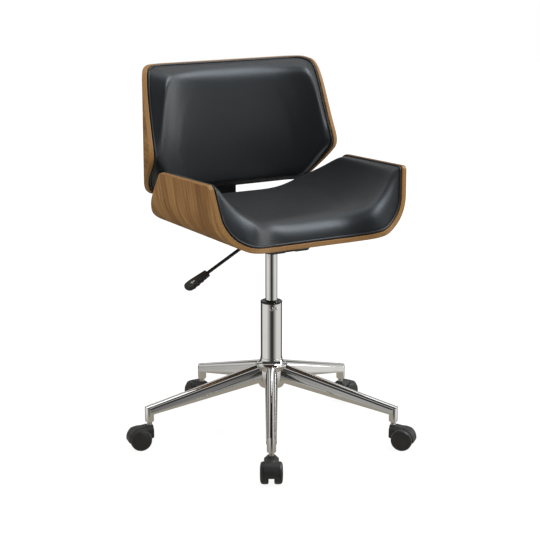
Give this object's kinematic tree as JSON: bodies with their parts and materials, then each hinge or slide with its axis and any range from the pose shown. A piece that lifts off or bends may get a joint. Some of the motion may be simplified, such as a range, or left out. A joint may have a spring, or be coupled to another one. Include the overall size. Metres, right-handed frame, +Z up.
{
  "type": "office chair",
  "caption": "Low-back office chair: bent walnut plywood seat and back, black leather cushions, gas column with height lever, chrome star base on twin-wheel casters.",
  "frame": {"origin": "on the floor, under the middle of the chair's own box", "axes": "+Z up, +Y towards the chair's back, +X towards the sitter's left, which is the picture's right"},
  "size_m": [0.6707, 0.6579, 0.869],
  "materials": {
    "chrome": "polished",
    "black_nylon": "satin",
    "plated_steel": "satin",
    "seal_rubber": "matte",
    "black_steel": "satin",
    "walnut_ply": "satin",
    "black_leather": "satin"
  },
  "bodies": {
    "base": {"base_hub": "chrome", "base_leg_1": "chrome", "base_leg_2": "chrome", "base_leg_3": "chrome", "base_leg_4": "chrome", "base_leg_5": "chrome", "column_sleeve": "chrome", "column_bushing": "black_nylon", "bearing_lower_race": "plated_steel"},
    "rod": {"bearing_ball_cage": "plated_steel", "bearing_upper_race": "plated_steel", "rod_clip": "plated_steel", "piston_rod": "plated_steel", "piston": "seal_rubber"},
    "seat": {"pressure_tube": "chrome", "tube_seal": "seal_rubber", "column_socket": "black_steel", "mechanism_housing": "black_steel", "seat_plate": "black_steel", "plate_bolt_1": "black_steel", "plate_bolt_2": "black_steel", "plate_bolt_3": "black_steel", "plate_bolt_4": "black_steel", "back_bracket": "black_steel", "back_bolt_1": "black_steel", "back_bolt_2": "black_steel", "seat_shell": "walnut_ply", "seat_cushion": "black_leather", "back_shell": "walnut_ply", "back_cushion": "black_leather"},
    "pin": {"release_pin": "plated_steel"},
    "lever": {"lever_rod": "black_steel", "lever_handle": "black_nylon"},
    "caster_1": {"caster_1_stem": "plated_steel", "caster_1_hood": "black_nylon", "caster_1_axle": "plated_steel"},
    "caster_2": {"caster_2_stem": "plated_steel", "caster_2_hood": "black_nylon", "caster_2_axle": "plated_steel"},
    "caster_3": {"caster_3_stem": "plated_steel", "caster_3_hood": "black_nylon", "caster_3_axle": "plated_steel"},
    "caster_4": {"caster_4_stem": "plated_steel", "caster_4_hood": "black_nylon", "caster_4_axle": "plated_steel"},
    "caster_5": {"caster_5_stem": "plated_steel", "caster_5_hood": "black_nylon", "caster_5_axle": "plated_steel"},
    "caster_1_left": {"caster_1_wheel_left": "black_nylon"},
    "caster_1_right": {"caster_1_wheel_right": "black_nylon"},
    "caster_2_left": {"caster_2_wheel_left": "black_nylon"},
    "caster_2_right": {"caster_2_wheel_right": "black_nylon"},
    "caster_3_left": {"caster_3_wheel_left": "black_nylon"},
    "caster_3_right": {"caster_3_wheel_right": "black_nylon"},
    "caster_4_left": {"caster_4_wheel_left": "black_nylon"},
    "caster_4_right": {"caster_4_wheel_right": "black_nylon"},
    "caster_5_left": {"caster_5_wheel_left": "black_nylon"},
    "caster_5_right": {"caster_5_wheel_right": "black_nylon"}
  },
  "joints": [
    {"name": "base_swivel", "type": "hinge", "parent": "base", "child": "rod", "pos_m": [0.0088, -0.0199, 0], "axis": [0, 0, 1], "continuous": true},
    {"name": "seat_lift", "type": "slide", "parent": "rod", "child": "seat", "axis": [0, 0, 1], "range_m": [-0.095, 0]},
    {"name": "lever_hinge", "type": "hinge", "parent": "seat", "child": "lever", "pos_m": [-0.04295, -0.0199, 0.479], "axis": [0, 1, 0], "range_deg": [0, 3.4], "stiffness_Nm_per_rad": 2, "springref_deg": -11.46},
    {"name": "release_pin_slide", "type": "slide", "parent": "seat", "child": "pin", "axis": [0, 0, -1], "range_m": [0, 0.0032]},
    {"name": "caster_1_swivel", "type": "hinge", "parent": "base", "child": "caster_1", "pos_m": [-0.14169, -0.27537, 0], "axis": [0, 0, 1], "continuous": true},
    {"name": "caster_2_swivel", "type": "hinge", "parent": "base", "child": "caster_2", "pos_m": [0.20527, -0.24197, 0], "axis": [0, 0, 1], "continuous": true},
    {"name": "caster_3_swivel", "type": "hinge", "parent": "base", "child": "caster_3", "pos_m": [0.28071, 0.09833, 0], "axis": [0, 0, 1], "continuous": true},
    {"name": "caster_4_swivel", "type": "hinge", "parent": "base", "child": "caster_4", "pos_m": [-0.01962, 0.27523, 0], "axis": [0, 0, 1], "continuous": true},
    {"name": "caster_5_swivel", "type": "hinge", "parent": "base", "child": "caster_5", "pos_m": [-0.28067, 0.04427, 0], "axis": [0, 0, 1], "continuous": true},
    {"name": "caster_1_left_spin", "type": "hinge", "parent": "caster_1", "child": "caster_1_left", "pos_m": [-0.15387, -0.29605, 0.025], "axis": [0.8616, -0.5076, 0], "continuous": true},
    {"name": "caster_1_right_spin", "type": "hinge", "parent": "caster_1", "child": "caster_1_right", "pos_m": [-0.15387, -0.29605, 0.025], "axis": [0.8616, -0.5076, 0], "continuous": true},
    {"name": "caster_2_left_spin", "type": "hinge", "parent": "caster_2", "child": "caster_2_left", "pos_m": [0.22117, -0.25994, 0.025], "axis": [0.749, 0.6626, 0], "continuous": true},
    {"name": "caster_2_right_spin", "type": "hinge", "parent": "caster_2", "child": "caster_2_right", "pos_m": [0.22117, -0.25994, 0.025], "axis": [0.749, 0.6626, 0], "continuous": true},
    {"name": "caster_3_left_spin", "type": "hinge", "parent": "caster_3", "child": "caster_3_left", "pos_m": [0.30272, 0.1079, 0.025], "axis": [-0.3987, 0.9171, 0], "continuous": true},
    {"name": "caster_3_right_spin", "type": "hinge", "parent": "caster_3", "child": "caster_3_right", "pos_m": [0.30272, 0.1079, 0.025], "axis": [-0.3987, 0.9171, 0], "continuous": true},
    {"name": "caster_4_left_spin", "type": "hinge", "parent": "caster_4", "child": "caster_4_left", "pos_m": [-0.02192, 0.29912, 0.025], "axis": [-0.9954, -0.0958, 0], "continuous": true},
    {"name": "caster_4_right_spin", "type": "hinge", "parent": "caster_4", "child": "caster_4_right", "pos_m": [-0.02192, 0.29912, 0.025], "axis": [-0.9954, -0.0958, 0], "continuous": true},
    {"name": "caster_5_left_spin", "type": "hinge", "parent": "caster_5", "child": "caster_5_left", "pos_m": [-0.3041, 0.04946, 0.025], "axis": [-0.2164, -0.9763, 0], "continuous": true},
    {"name": "caster_5_right_spin", "type": "hinge", "parent": "caster_5", "child": "caster_5_right", "pos_m": [-0.3041, 0.04946, 0.025], "axis": [-0.2164, -0.9763, 0], "continuous": true}
  ],
  "couplings": [
    {"joint": "release_pin_slide", "follows": "lever_hinge", "m_per_rad": 0.05175}
  ]
}
